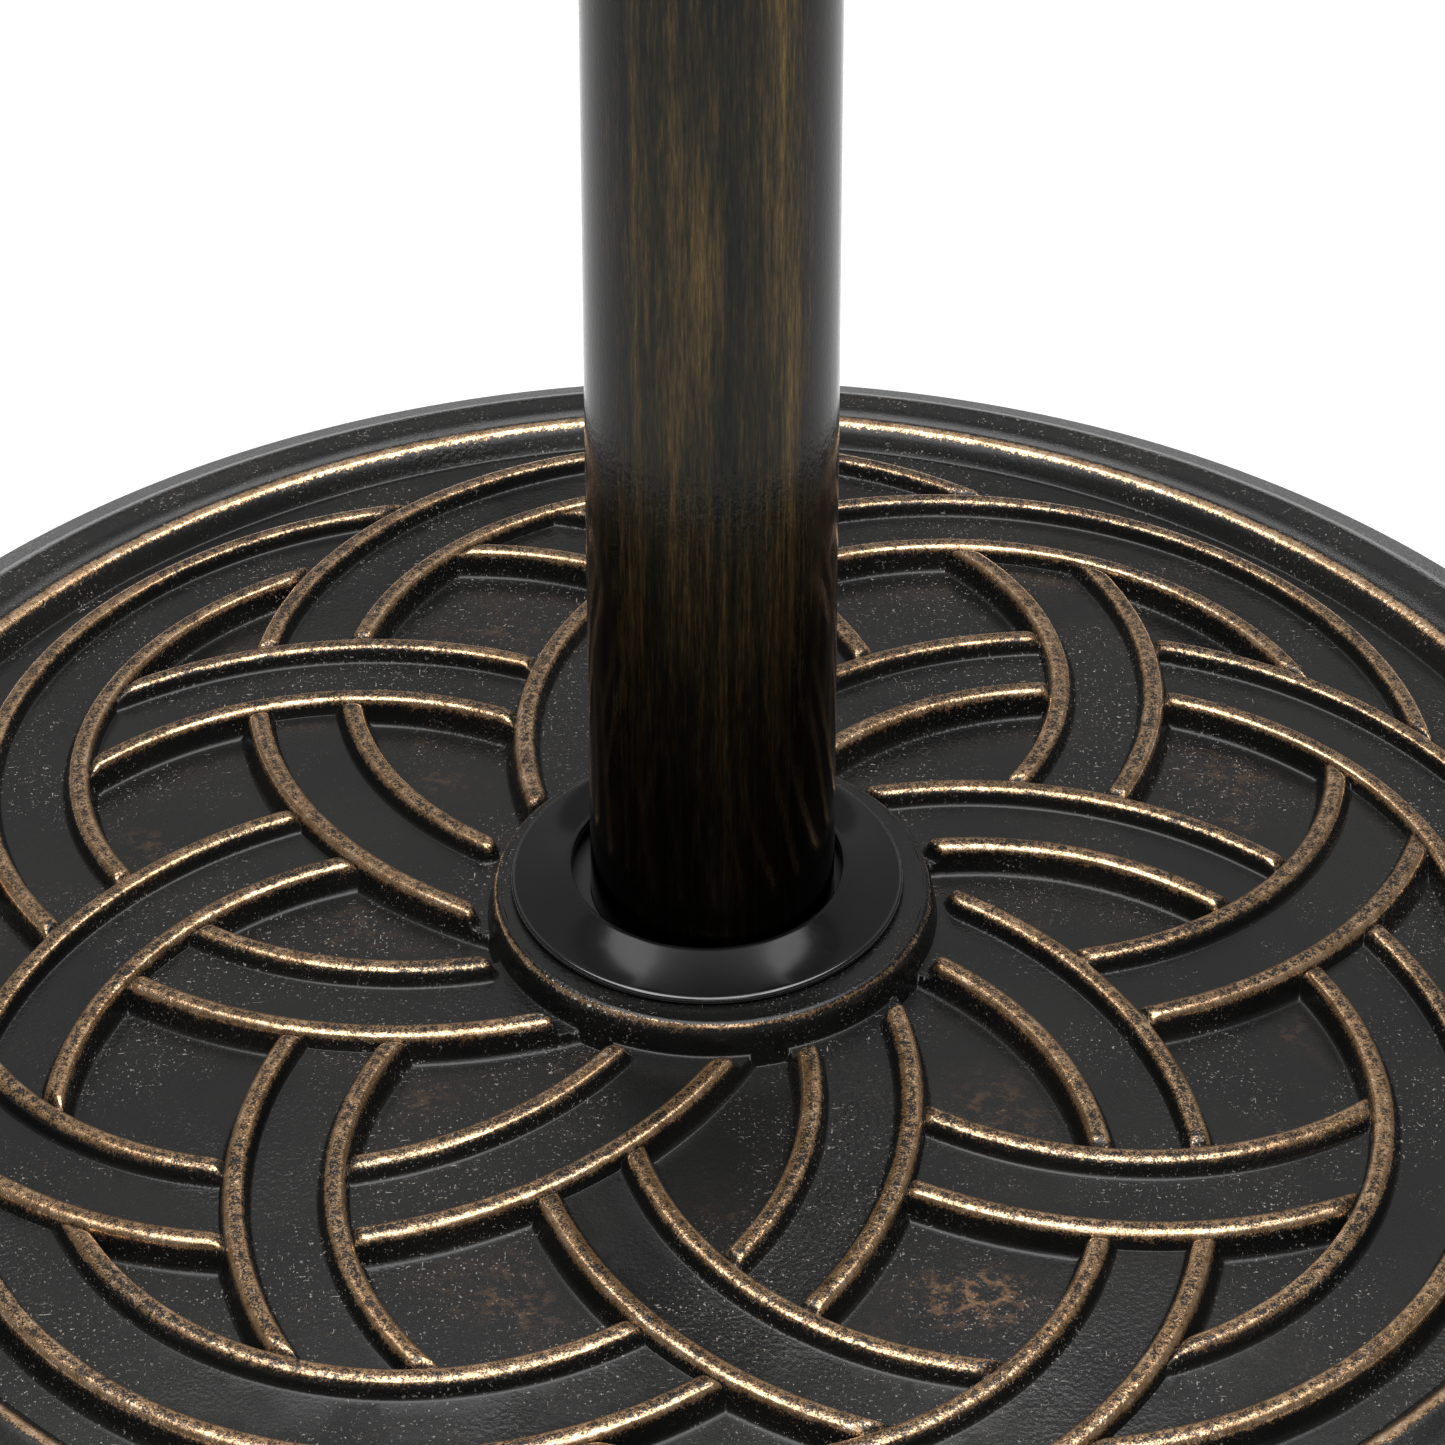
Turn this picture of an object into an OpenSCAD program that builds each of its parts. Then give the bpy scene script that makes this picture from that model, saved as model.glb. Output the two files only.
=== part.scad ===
// Round weighted parasol base: a domed casting with an interlaced band
// pattern, a bolted-on stem tube, a loose flange cover, a pole sleeve and a
// clamp screw. Millimetres, +Z up. The origin is on the floor, on the axis of
// the stem, so the rubber feet stand on Z = 0. The clamp screw points to +X.

/* [Base casting] */
// Outer diameter of the casting
base_d = 450; // [440:2:470]
// Height of the band tops where they meet the hub, above the floor
crown_h = 53; // [52:0.5:56]
// How far the domed top falls from the hub to the rim bead
crown_drop = 14.8; // [12:0.2:15.4]
// Wall thickness of the domed top under the pockets
shell_t = 7; // [5:0.5:8]
// Wall thickness of the outer skirt
skirt_t = 16; // [13:0.5:18]
// Radius of the rounded outer lip
lip_r = 12; // [9:0.5:12]
// Gap between the skirt and the floor
skirt_gap = 4; // [3:0.5:5]

/* [Interlaced bands] */
// Number of circular bands
band_count = 8; // [6:1:9]
// Distance from the axis to the centre of each band circle
band_centre = 81.1; // [80:0.1:82]
// Inner radius of a band
band_in = 73.8; // [73:0.1:75]
// Outer radius of a band
band_out = 98.6; // [97:0.1:99]
// Height of the bands above the pocket floors
band_h = 6; // [4:0.25:7]
// Turn of the whole pattern about the axis, degrees
band_phase = 1.1; // [0:0.1:45]

/* [Hub] */
// Outer radius of the raised hub ring
hub_r = 45; // [44:0.25:46]
// Height of the hub ring above the band tops
hub_rise = 4; // [3:0.25:5]
// Outer radius of the loose flange cover
cover_r = 39.5; // [38:0.25:41]
// Radius of the hole in the flange cover
cover_hole_r = 27.8; // [27:0.1:29]

/* [Stem tube] */
// Outer diameter of the stem tube
tube_d = 50; // [49.8:0.1:50]
// Wall thickness of the stem tube
tube_t = 1.5; // [1.2:0.1:1.5]
// Height of the top end of the tube above the floor
tube_top = 350; // [345:1:370]

/* [Pole sleeve and clamp] */
// Inside diameter of the pole sleeve
sleeve_bore_d = 39; // [38:0.25:39.5]
// Length of the sleeve below its flange
sleeve_len = 92.5; // [80:0.5:110]
// Height of the clamp screw above the floor
clamp_z = 315; // [312:0.5:318]
// Radius of the clamp screw thread
screw_r = 5; // [4.8:0.1:5]
// Bare thread between the boss and the knob when it is undone
screw_gap = 6.8; // [6.6:0.1:9]
// Number of grip lobes on the clamp knob
knob_lobes = 6; // [5:1:8]

/* [Feet and fasteners] */
// Number of rubber feet
foot_count = 6; // [4:1:8]
// Distance of the feet from the axis
foot_pitch_r = 185; // [175:1:188]
// Radius of a rubber foot
foot_r = 14; // [12:0.5:16]
// Height of a rubber foot
foot_h = 6; // [5.5:0.1:6]

/* [Hidden] */

base_r = base_d / 2;
tube_r = tube_d / 2;
tube_in = tube_r - tube_t;
plate_t = 2;
plate_top = foot_h + plate_t;          // the casting and the ballast start here
hub_top = crown_h + hub_rise;
bead_r = base_r - 31;                  // crest of the rim bead
bead_z = crown_h - crown_drop - 0.6;
lip_z = bead_z - 19;                   // height of the lip's centre
core_in = hub_r + 1.2;                 // hub column, seen from the ballast
core_out = base_r - skirt_t;
web_z0 = 17;                           // solid web that carries the anchor bolt
web_z1 = 25;
socket_r = tube_r + 5.2;
access_r = 24;
bolt_r = 6;
boss_end = tube_r + 8;
knob_x = boss_end + screw_gap;
knob_mid = knob_x + 6;
knob_end = knob_mid + 14;
collar_top = tube_top + 3;
sleeve_r = tube_in - 0.3;
sleeve_z0 = collar_top - sleeve_len;
slot_w = 13;
dark = [0.17, 0.155, 0.14];
bronze = [0.30, 0.22, 0.15];
$fn = 96;

// height of the band tops at a distance r from the axis
function crown(r) = let (t = max(0, (r - 44.5) / (bead_r - 44.2)))
    crown_h - crown_drop * (0.352 * t + 0.648 * t * t);
// height of the pocket floors and of the cavity under them
function floor_z(r) = crown(r) - band_h;
function under_z(r) = min(floor_z(r) - shell_t, 26 - (r - 200) * 0.45 + max(0, 200 - r));
// stations along the dome, from r0 to r1
function st(r0, r1, n) = [for (i = [0:n]) r0 + (r1 - r0) * i / n];
function rev(a) = [for (i = [len(a) - 1:-1:0]) a[i]];

// places n copies of its child round the axis
module ring(n, r, a0 = 0) {
    for (i = [0:n - 1]) rotate([0, 0, a0 + 360 * i / n]) translate([r, 0, 0]) children();
}
// a tube standing on z0
module pipe(r1, r0, z0, z1) {
    translate([0, 0, z0]) difference() {
        cylinder(r = r1, h = z1 - z0);
        translate([0, 0, -1]) cylinder(r = r0, h = z1 - z0 + 2);
    }
}
// a cylinder along +X at the clamp screw's height, from x0 to x1
module clamp_cyl(r, x0, x1) {
    translate([x0, 0, clamp_z]) rotate([0, 90, 0]) cylinder(r = r, h = x1 - x0);
}

// ---------------------------------------------------------------- base
module casting_body() {
    rotate_extrude() polygon(concat(
        // the recess for the bolt head has the draft of a cast wall
        [[bolt_r + 0.5, web_z0], [access_r - 0.6, web_z0], [access_r, plate_top], [core_in, plate_top]],
        [for (r = st(core_in, 200, 6)) [r, under_z(r)]],
        [[core_out, under_z(core_out)], [core_out, plate_top],
         [base_r - 9.5, plate_top], [base_r - 9.5, skirt_gap],
         [base_r - 1.5, skirt_gap], [base_r, skirt_gap + 2]],
        [for (a = [0:11.5:69]) [base_r - lip_r + lip_r * cos(a), lip_z + lip_r * sin(a)]],
        [[bead_r + 2.4, bead_z - 0.6], [bead_r, bead_z], [bead_r - 2, bead_z - 0.9],
         [bead_r - 4.5, floor_z(bead_r - 4.5)]],
        [for (r = rev(st(hub_r + 1, bead_r - 12, 7))) [r, floor_z(r)]],
        [[hub_r, floor_z(hub_r) + 1], [hub_r, hub_top - 1.6], [hub_r - 1.4, hub_top],
         [socket_r + 4, hub_top], [socket_r + 4, hub_top - 2], [socket_r, hub_top - 2],
         [socket_r, web_z1], [bolt_r + 0.5, web_z1]]));
}

module bands() {
    intersection() {
        rotate_extrude() polygon(concat(
            [for (r = st(hub_r - 5, band_centre + band_out + 2, 7)) [r, crown(r)]],
            [for (r = rev(st(hub_r - 5, band_centre + band_out + 2, 7))) [r, crown(r) - band_h - 2]]));
        translate([0, 0, 10]) linear_extrude(height = 60) difference() {
            ring(band_count, band_centre, 90 + band_phase) difference() {
                circle(r = band_out);
                circle(r = band_in);
            }
            circle(r = hub_r - 3);
        }
    }
}

module base_casting() {
    color(bronze) difference() {
        union() {
            casting_body();
            bands();
            // posts that the foot screws bite into
            ring(foot_count, foot_pitch_r) translate([0, 0, plate_top])
                cylinder(r = 9, h = under_z(foot_pitch_r + 9) - plate_top + 4);
        }
        ring(foot_count, foot_pitch_r) translate([0, 0, plate_top - 1]) cylinder(r = 2.6, h = 16);
        ring(4, 36, 45) translate([0, 0, plate_top - 1]) cylinder(r = 2.1, h = 14);
    }
}

module ballast_core() {
    color([0.55, 0.54, 0.52]) difference() {
        rotate_extrude() polygon(concat(
            [[core_in + 0.25, plate_top]],
            [for (r = st(core_in + 0.25, 200, 6)) [r, under_z(r) - 0.4]],
            [[core_out - 0.25, under_z(core_out) - 0.4], [core_out - 0.25, plate_top]]));
        ring(foot_count, foot_pitch_r) translate([0, 0, plate_top - 1]) cylinder(r = 9.25, h = 40);
    }
}

module bottom_plate() {
    color([0.12, 0.12, 0.12]) difference() {
        translate([0, 0, foot_h]) cylinder(r = base_r - 9.8, h = plate_t);
        translate([0, 0, foot_h - 1]) cylinder(r = access_r, h = plate_t + 2);
        ring(foot_count, foot_pitch_r) translate([0, 0, foot_h - 1]) cylinder(r = 2.8, h = plate_t + 2);
        ring(4, 36, 45) translate([0, 0, foot_h - 1]) cylinder(r = 2.3, h = plate_t + 2);
    }
}

module plate_screws() {
    color([0.7, 0.7, 0.72]) ring(4, 36, 45) difference() {
        union() {
            translate([0, 0, foot_h - 1.8]) cylinder(r = 3.8, h = 1.8);
            translate([0, 0, foot_h - 0.1]) cylinder(r = 2, h = 13);
        }
        for (a = [0, 90]) rotate([0, 0, a])
            translate([-2.4, -0.4, foot_h - 2.8]) cube([4.8, 0.8, 2]);
    }
}

module rubber_feet() {
    color([0.06, 0.06, 0.06]) ring(foot_count, foot_pitch_r) rotate_extrude()
        polygon([[5.2, 0], [foot_r - 1, 0], [foot_r, 1], [foot_r, foot_h], [2.8, foot_h],
                 [2.8, 3], [5.2, 3]]);
}

module foot_screws() {
    color([0.7, 0.7, 0.72]) ring(foot_count, foot_pitch_r) difference() {
        union() {
            translate([0, 0, 1.2]) cylinder(r = 4.6, h = 1.8);
            translate([0, 0, 2.9]) cylinder(r = 2.5, h = 18);
        }
        for (a = [0, 90]) rotate([0, 0, a]) translate([-2.8, -0.5, 0.2]) cube([5.6, 1, 2]);
    }
}

// ---------------------------------------------------------------- hub and stem
module hub_bushing() {
    color([0.1, 0.1, 0.1]) rotate_extrude() polygon([
        [tube_r + 0.1, web_z1], [socket_r - 0.1, web_z1], [socket_r - 0.1, hub_top - 2],
        [socket_r + 3.8, hub_top - 2], [socket_r + 3.8, hub_top], [tube_r + 0.1, hub_top]]);
}

module stem_tube() {
    color(dark) difference() {
        pipe(tube_r, tube_in, web_z1 + 16, tube_top);
        clamp_cyl(screw_r + 0.3, 10, 30);
    }
}

module tube_foot_plug() {
    color([0.45, 0.45, 0.46]) difference() {
        rotate_extrude() polygon([[bolt_r + 0.05, web_z1], [tube_r - 1, web_z1],
            [tube_r, web_z1 + 1], [tube_r, web_z1 + 16],
            [sleeve_bore_d / 2, web_z1 + 16], [sleeve_bore_d / 2, web_z1 + 12],
            [bolt_r + 0.05, web_z1 + 12]]);
    }
}

module anchor_bolt() {
    color([0.72, 0.72, 0.74]) {
        translate([0, 0, web_z0 - 13]) cylinder(r = 10.4, h = 7.5, $fn = 6);
        translate([0, 0, web_z0 - 5.6]) cylinder(r = bolt_r, h = 23.6);
        translate([0, 0, web_z0 + 17.9]) cylinder(r1 = bolt_r, r2 = bolt_r - 1, h = 1.1);
    }
}

module flat_washer() {
    color([0.75, 0.75, 0.77]) pipe(20, bolt_r + 0.4, web_z0 - 3, web_z0);
}

module spring_washer() {
    color([0.6, 0.6, 0.62]) difference() {
        pipe(10.5, bolt_r + 0.2, web_z0 - 5.5, web_z0 - 3);
        translate([8, 0, web_z0 - 4.2]) rotate([25, 0, 0]) cube([8, 1.4, 8], center = true);
    }
}

module flange_cover() {
    z = hub_top + 0.3;
    color([0.03, 0.03, 0.035]) rotate_extrude() polygon(concat(
        [[cover_r - 2, z], [cover_r, z], [cover_r, z + 1.2], [cover_r - 0.5, z + 1.7]],
        // the brim rises slowly, then flares up to the hole
        [for (i = [0:8]) let (t = i / 8) [cover_r - 1 - (cover_r - 1 - cover_hole_r - 0.6) * t,
            z + 1.75 + 0.9 * t + 2.6 * t * t * t]],
        [[cover_hole_r, z + 4.8], [cover_hole_r, z + 3.4]],
        [for (i = [8:-1:0]) let (t = i / 8) [cover_r - 2.4 - (cover_r - 2.4 - cover_hole_r - 0.6) * t,
            z + 0.35 + 0.8 * t + 2.2 * t * t * t]]));
}

// ---------------------------------------------------------------- top of the stem
module top_collar() {
    color([0.05, 0.05, 0.05]) rotate_extrude() polygon([
        [tube_in, tube_top], [tube_r + 0.1, tube_top], [tube_r + 0.1, tube_top - 14],
        [tube_r + 2, tube_top - 14], [tube_r + 2.5, tube_top - 13.5],
        [tube_r + 2.5, collar_top - 1.5], [tube_r + 1, collar_top], [tube_in, collar_top]]);
}

module pole_sleeve() {
    color([0.08, 0.08, 0.08]) difference() {
        rotate_extrude() polygon([
            [sleeve_bore_d / 2, sleeve_z0], [sleeve_r - 1, sleeve_z0], [sleeve_r, sleeve_z0 + 2],
            [sleeve_r, collar_top + 0.3], [tube_r + 1, collar_top + 0.3],
            [tube_r + 1, collar_top + 2], [tube_r, collar_top + 3],
            [sleeve_bore_d / 2 + 0.8, collar_top + 3], [sleeve_bore_d / 2, collar_top + 2.2]]);
        // slot that lets the sleeve lift straight off the clamp screw
        translate([10, -slot_w / 2, sleeve_z0 - 5]) cube([20, slot_w, clamp_z - sleeve_z0 + 5]);
        clamp_cyl(slot_w / 2, 10, 30);
    }
}

module clamp_boss() {
    color(dark) difference() {
        union() {
            clamp_cyl(9, tube_r - 4, boss_end - 1);
            clamp_cyl(8.2, boss_end - 1.1, boss_end);
        }
        translate([0, 0, clamp_z - 20]) cylinder(r = tube_r + 0.02, h = 40);
        clamp_cyl(screw_r + 0.05, 10, boss_end + 5);
    }
}

module clamp_knob() {
    color([0.05, 0.05, 0.05]) difference() {
        union() {
            clamp_cyl(9.5, knob_x, knob_mid + 1);
            clamp_cyl(15.5, knob_mid, knob_end);
            for (i = [0:knob_lobes - 1]) translate([knob_mid, 0, clamp_z])
                rotate([360 * i / knob_lobes, 0, 0]) translate([0, 0, 15]) rotate([0, 90, 0])
                    cylinder(r = 5.5, h = knob_end - knob_mid);
        }
        clamp_cyl(screw_r + 0.05, knob_x - 1, knob_end - 6);
        clamp_cyl(9.3, knob_end - 2, knob_end + 1);
    }
}

module knob_stud() {
    color([0.72, 0.72, 0.74]) {
        clamp_cyl(screw_r, tube_r - 2.2, knob_end - 6.2);
        clamp_cyl(2.4, tube_r - 4.1, tube_r - 2.1);
    }
}

module knob_cap() {
    color([0.12, 0.12, 0.12]) translate([0, 0, clamp_z]) rotate([0, 90, 0])
        rotate_extrude() polygon([[0, knob_end - 1.95], [9.1, knob_end - 1.95],
            [9.1, knob_end + 0.1], [7.5, knob_end + 0.9], [4.5, knob_end + 1.4], [0, knob_end + 1.6]]);
}

module pressure_pad() {
    color([0.15, 0.15, 0.15]) difference() {
        union() {
            clamp_cyl(4.4, tube_r - 4.8, tube_r - 4.4);
            clamp_cyl(5, tube_r - 4.5, tube_r - 2.6);
        }
        clamp_cyl(2.5, tube_r - 4.2, tube_r);
    }
}

base_casting();
ballast_core();
bottom_plate();
plate_screws();
rubber_feet();
foot_screws();
hub_bushing();
stem_tube();
tube_foot_plug();
anchor_bolt();
flat_washer();
spring_washer();
flange_cover();
top_collar();
pole_sleeve();
clamp_boss();
clamp_knob();
knob_stud();
knob_cap();
pressure_pad();
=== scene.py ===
import math
import bpy
import bmesh
import numpy as np
from mathutils import Vector, Matrix
from mathutils.geometry import delaunay_2d_cdt


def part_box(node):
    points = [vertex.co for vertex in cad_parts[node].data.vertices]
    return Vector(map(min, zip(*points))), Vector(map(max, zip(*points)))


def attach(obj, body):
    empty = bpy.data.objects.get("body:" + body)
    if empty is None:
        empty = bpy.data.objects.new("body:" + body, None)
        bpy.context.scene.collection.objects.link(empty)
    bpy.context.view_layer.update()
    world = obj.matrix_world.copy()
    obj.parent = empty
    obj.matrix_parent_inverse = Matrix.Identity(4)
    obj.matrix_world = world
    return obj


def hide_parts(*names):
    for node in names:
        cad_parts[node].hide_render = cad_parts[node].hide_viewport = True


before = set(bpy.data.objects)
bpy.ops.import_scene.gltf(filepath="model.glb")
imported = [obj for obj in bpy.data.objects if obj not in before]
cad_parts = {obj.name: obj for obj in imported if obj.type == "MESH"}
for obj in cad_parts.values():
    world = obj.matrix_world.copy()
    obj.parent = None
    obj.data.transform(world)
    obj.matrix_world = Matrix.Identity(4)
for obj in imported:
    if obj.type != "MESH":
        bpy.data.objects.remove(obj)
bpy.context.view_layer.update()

MM = 0.001

# ------------------------------------------------------------------ sizes, read from the frame, in millimetres
_, cast_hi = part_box("base_casting")
cast_lo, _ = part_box("base_casting")
BASE_R = round(max(cast_hi.x, cast_hi.y) / MM)
HUB_TOP = cast_hi.z / MM
SKIRT_Z = cast_lo.z / MM
CROWN_H = HUB_TOP - 4.0
BEAD_R = BASE_R - 31.0
DROP = 14.8
tube_lo, tube_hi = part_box("stem_tube")
TUBE_R = tube_hi.x / MM
TUBE_TOP = tube_hi.z / MM
BAND_C, BAND_R, PHASE, NB = 81.1, 86.2, 91.1, 8
SEG = 360
knob_lo, knob_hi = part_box("clamp_knob")
CLAMP_Z = (knob_lo.z + knob_hi.z) / 2 / MM
KNOB_X0, KNOB_X1 = knob_lo.x / MM, knob_hi.x / MM
boss_lo, boss_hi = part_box("clamp_boss")
BOSS_X1 = boss_hi.x / MM
cover_lo, cover_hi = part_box("flange_cover")
COVER_R = max(cover_hi.x, cover_hi.y) / MM
COVER_Z = cover_lo.z / MM
collar_lo, collar_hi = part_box("top_collar")
COLLAR_TOP = collar_hi.z / MM


# ------------------------------------------------------------------ mesh helpers
def make(name, verts, faces, smooth=True, scale=MM):
    me = bpy.data.meshes.new(name)
    me.from_pydata([tuple(float(c) * scale for c in v) for v in verts], [], faces)
    me.validate()
    me.update()
    ob = bpy.data.objects.new(name, me)
    bpy.context.scene.collection.objects.link(ob)
    if smooth:
        me.polygons.foreach_set("use_smooth", [True] * len(me.polygons))
    return ob


def outward(ob):
    bm = bmesh.new(); bm.from_mesh(ob.data)
    bmesh.ops.recalc_face_normals(bm, faces=bm.faces)
    bm.to_mesh(ob.data); bm.free()


def sharp(ob, deg):
    ob.data.set_sharp_from_angle(angle=math.radians(deg))


def fillet(P, n=4, closed=True):
    """Rounds the corners of a (r, z, radius) outline."""
    out = []
    m = len(P)
    for i in range(m):
        x, y = P[i][0], P[i][1]
        rad = P[i][2] if len(P[i]) > 2 else 0
        if rad <= 0 or (not closed and i in (0, m - 1)):
            out.append((x, y)); continue
        a = np.array(P[(i - 1) % m][:2], float) - (x, y); b = np.array(P[(i + 1) % m][:2], float) - (x, y)
        la, lb = np.linalg.norm(a), np.linalg.norm(b)
        a /= la; b /= lb
        half = math.acos(max(-1, min(1, float(a @ b)))) / 2
        if half > math.pi / 2 - 0.02:
            out.append((x, y)); continue
        d = min(rad / math.tan(half), la * 0.49, lb * 0.49)
        p0 = np.array((x, y)) + a * d; p1 = np.array((x, y)) + b * d
        c0 = np.array((x, y))
        for k in range(n + 1):
            t = k / n
            q = (1 - t) ** 2 * p0 + 2 * t * (1 - t) * c0 + t * t * p1
            out.append((float(q[0]), float(q[1])))
    return out


def lathe(name, outline, seg=128, closed=True, xaxis=False, cz=0.0):
    """Turns a closed (r, z) outline about Z, or about the +X line at height cz."""
    verts, faces = [], []
    m = len(outline)
    poles = {}
    idx = []
    for i, (r, z) in enumerate(outline):
        row = []
        if r < 1e-6:
            k = len(verts); verts.append((0, 0, z)); row = [k] * seg
        else:
            for s in range(seg):
                a = 2 * math.pi * s / seg
                row.append(len(verts)); verts.append((r * math.cos(a), r * math.sin(a), z))
        idx.append(row)
    for i in range(m if closed else m - 1):
        A, B = idx[i], idx[(i + 1) % m]
        if outline[i][0] < 1e-6 and outline[(i + 1) % m][0] < 1e-6:
            continue
        for s in range(seg):
            t = (s + 1) % seg
            f = [A[s], A[t], B[t], B[s]]
            f = [v for k, v in enumerate(f) if v != f[k - 1]]
            if len(f) > 2: faces.append(f)
    if xaxis:
        verts = [(z, x, y + cz) for x, y, z in verts]
    ob = make(name, verts, faces)
    outward(ob)
    return ob


# ------------------------------------------------------------------ material helpers
class Mat:
    def __init__(self, name):
        self.m = bpy.data.materials.new(name)
        self.m.use_nodes = True
        self.t = self.m.node_tree
        self.b = self.t.nodes["Principled BSDF"]
        self.out = self.t.nodes["Material Output"]
        self.tc = self.t.nodes.new("ShaderNodeTexCoord")

    def set(self, **kw):
        names = {"color": "Base Color", "metallic": "Metallic", "rough": "Roughness", "spec": "Specular IOR Level",
                 "coat": "Coat Weight", "coat_rough": "Coat Roughness", "sheen": "Sheen Weight", "ior": "IOR", "aniso": "Anisotropic"}
        for k, v in kw.items():
            s = self.b.inputs[names[k]]
            if isinstance(v, bpy.types.NodeSocket): self.t.links.new(v, s)
            elif k == "color": s.default_value = (*v, 1)
            else: s.default_value = v

    def n(self, kind, **props):
        nd = self.t.nodes.new(kind)
        for k, v in props.items(): setattr(nd, k, v)
        return nd

    def link(self, a, b): self.t.links.new(a, b)

    def put(self, sock, v):
        if isinstance(v, bpy.types.NodeSocket): self.t.links.new(v, sock)
        else: sock.default_value = v

    def coords(self, scale=(1, 1, 1), loc=(0, 0, 0), rot=(0, 0, 0)):
        mp = self.n("ShaderNodeMapping")
        self.link(self.tc.outputs["Object"], mp.inputs["Vector"])
        mp.inputs["Scale"].default_value = scale
        mp.inputs["Location"].default_value = loc
        mp.inputs["Rotation"].default_value = rot
        return mp.outputs["Vector"]

    def noise(self, scale=1.0, detail=3.0, rough=0.5, vec=None, stretch=None, loc=(0, 0, 0), dist=0.0):
        nd = self.n("ShaderNodeTexNoise")
        if vec is None: vec = self.coords(stretch or (1, 1, 1), loc)
        self.link(vec, nd.inputs["Vector"])
        nd.inputs["Scale"].default_value = scale
        nd.inputs["Detail"].default_value = detail
        nd.inputs["Roughness"].default_value = rough
        nd.inputs["Distortion"].default_value = dist
        return nd.outputs["Fac"]

    def voronoi(self, scale, vec=None, feature="F1", stretch=None, rand=1.0):
        nd = self.n("ShaderNodeTexVoronoi", feature=feature)
        if vec is None: vec = self.coords(stretch or (1, 1, 1))
        self.link(vec, nd.inputs["Vector"])
        nd.inputs["Scale"].default_value = scale
        nd.inputs["Randomness"].default_value = rand
        return nd

    def math(self, op, a, b=None, c=None, clamp=False):
        nd = self.n("ShaderNodeMath", operation=op, use_clamp=clamp)
        self.put(nd.inputs[0], a)
        if b is not None: self.put(nd.inputs[1], b)
        if c is not None: self.put(nd.inputs[2], c)
        return nd.outputs[0]

    def step(self, v, a, b, lo=0.0, hi=1.0, smooth=True):
        nd = self.n("ShaderNodeMapRange", interpolation_type="SMOOTHSTEP" if smooth else "LINEAR")
        self.put(nd.inputs["Value"], v)
        for k, x in (("From Min", a), ("From Max", b), ("To Min", lo), ("To Max", hi)): self.put(nd.inputs[k], x)
        return nd.outputs["Result"]

    def ramp(self, v, stops, interp="LINEAR"):
        nd = self.n("ShaderNodeValToRGB")
        self.put(nd.inputs["Fac"], v)
        cr = nd.color_ramp; cr.interpolation = interp
        while len(cr.elements) < len(stops): cr.elements.new(0.5)
        for e, (p, c) in zip(cr.elements, stops):
            e.position = p; e.color = (*c, 1) if len(c) == 3 else c
        return nd.outputs["Color"]

    def mix(self, f, a, b):
        nd = self.n("ShaderNodeMix", data_type="RGBA")
        self.put(nd.inputs["Factor"], f)
        for k, v in ((6, a), (7, b)):
            if isinstance(v, bpy.types.NodeSocket): self.t.links.new(v, nd.inputs[k])
            else: nd.inputs[k].default_value = (*v, 1)
        return nd.outputs[2]

    def attr(self, name):
        nd = self.n("ShaderNodeAttribute", attribute_name=name, attribute_type="GEOMETRY")
        return nd.outputs["Fac"]

    def bump(self, layers):
        """layers: (height socket, strength, distance in m)"""
        prev = None
        for h, st, d in layers:
            nd = self.n("ShaderNodeBump")
            nd.inputs["Strength"].default_value = st
            nd.inputs["Distance"].default_value = d
            self.link(h, nd.inputs["Height"])
            if prev: self.link(prev, nd.inputs["Normal"])
            prev = nd.outputs["Normal"]
        self.link(prev, self.b.inputs["Normal"])
        return self


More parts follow.
